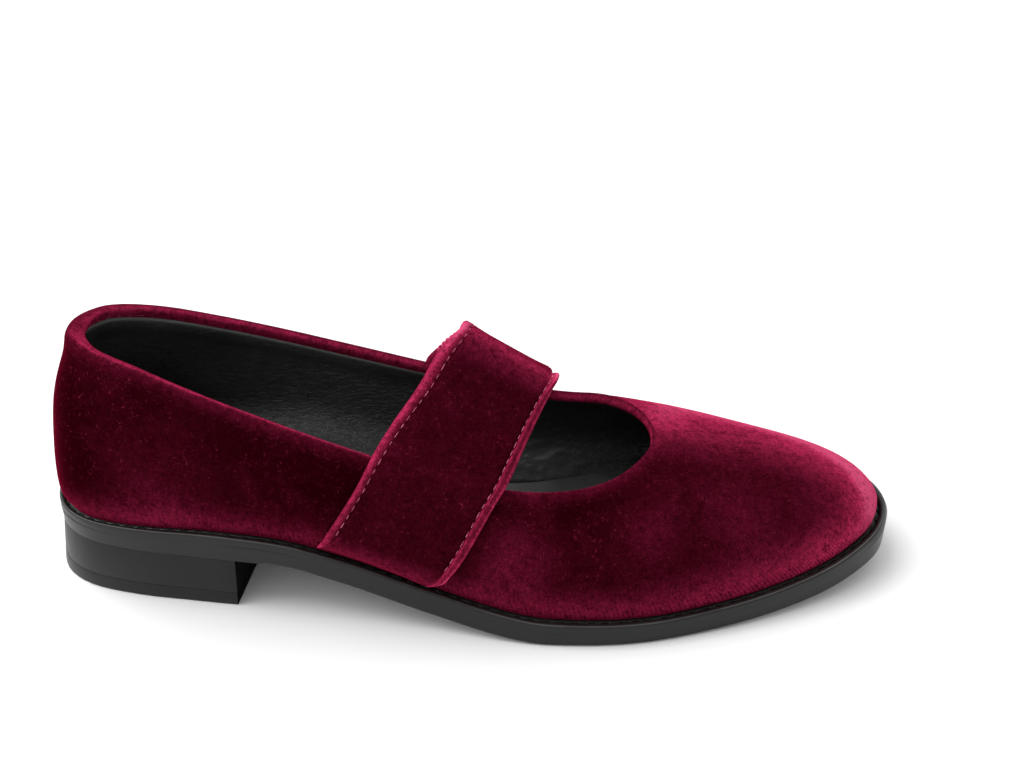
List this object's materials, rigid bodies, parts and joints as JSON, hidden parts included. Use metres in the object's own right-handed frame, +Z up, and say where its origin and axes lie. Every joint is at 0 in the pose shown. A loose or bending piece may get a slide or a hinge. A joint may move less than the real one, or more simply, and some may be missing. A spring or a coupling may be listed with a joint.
{
  "type": "mary_jane_shoe",
  "caption": "Right mary jane shoe in burgundy velvet with a wide instep strap, round toe, black welted sole and low block heel",
  "frame": {"origin": "centre of the bounding box on the plane the sole stands on", "axes": "+X to the toe, +Y to the inner (medial) side, +Z up"},
  "size_m": [0.2576, 0.0924, 0.0808],
  "materials": {
    "velvet": "napped",
    "leather_black": "satin",
    "rubber_black": "satin"
  },
  "bodies": {
    "root": {"upper": "velvet", "strap": "velvet", "insole": "leather_black", "welt": "rubber_black", "outsole": "rubber_black", "heel_block": "rubber_black", "heel_top_lift": "rubber_black"}
  },
  "joints": []
}
